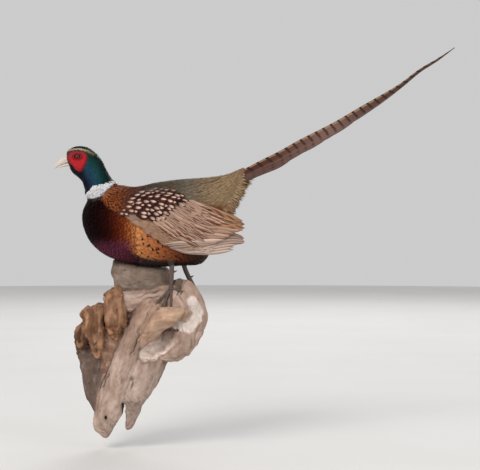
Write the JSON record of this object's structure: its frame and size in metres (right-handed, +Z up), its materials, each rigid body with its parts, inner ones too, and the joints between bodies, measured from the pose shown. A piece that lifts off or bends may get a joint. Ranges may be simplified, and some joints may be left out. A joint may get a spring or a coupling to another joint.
{
  "type": "taxidermy ring-necked pheasant on driftwood",
  "caption": "Mounted cock pheasant standing on a wall-hung piece of driftwood, facing left, with folded wings and a long raised tail.",
  "frame": {"origin": "on the flat sawn back of the driftwood, where it lies against the wall, in front of the point below the bird's legs", "axes": "+Z up, +Y into the wall, the bird faces -X and its left side faces -Y, into the room"},
  "size_m": [0.7828, 0.1706, 0.772],
  "materials": {
    "bill": "satin horn",
    "head": "glossy dark green feathers",
    "neck": "glossy blue-green feathers with a white ring",
    "wattle": "matt pimpled red skin",
    "eye": "polished taxidermy eye",
    "trunk": "copper and maroon feathers, spotted flanks, grey-green rump",
    "wing": "buff and grey feathers, brown streaks",
    "primaries": "pale buff flight feathers with white spots",
    "tail": "buff-brown feathers with dark bars",
    "leg": "grey scaly skin",
    "claw": "dark horn",
    "wood": "weathered, dry",
    "steel": "zinc plated"
  },
  "bodies": {
    "root": {"bill_lower": "bill", "bill_upper": "bill", "claw_left_hind": "claw", "claw_left_inner": "claw", "claw_left_middle": "claw", "claw_left_outer": "claw", "claw_right_hind": "claw", "claw_right_inner": "claw", "claw_right_middle": "claw", "claw_right_outer": "claw", "driftwood": "wood", "eye_left": "eye", "eye_right": "eye", "foot_left": "leg", "foot_right": "leg", "hanger_plate": "steel", "hanger_screw_lower": "steel", "hanger_screw_upper": "steel", "head": "head", "neck": "neck", "primaries_left": "primaries", "primaries_right": "primaries", "shank_left": "leg", "shank_right": "leg", "spur_left": "claw", "spur_right": "claw", "tail_middle_left": "tail", "tail_middle_right": "tail", "tail_side_left": "tail", "tail_side_right": "tail", "thigh_left": "trunk", "thigh_right": "trunk", "trunk": "trunk", "wattle_left": "wattle", "wattle_right": "wattle", "wing_left": "wing", "wing_right": "wing"}
  },
  "joints": []
}
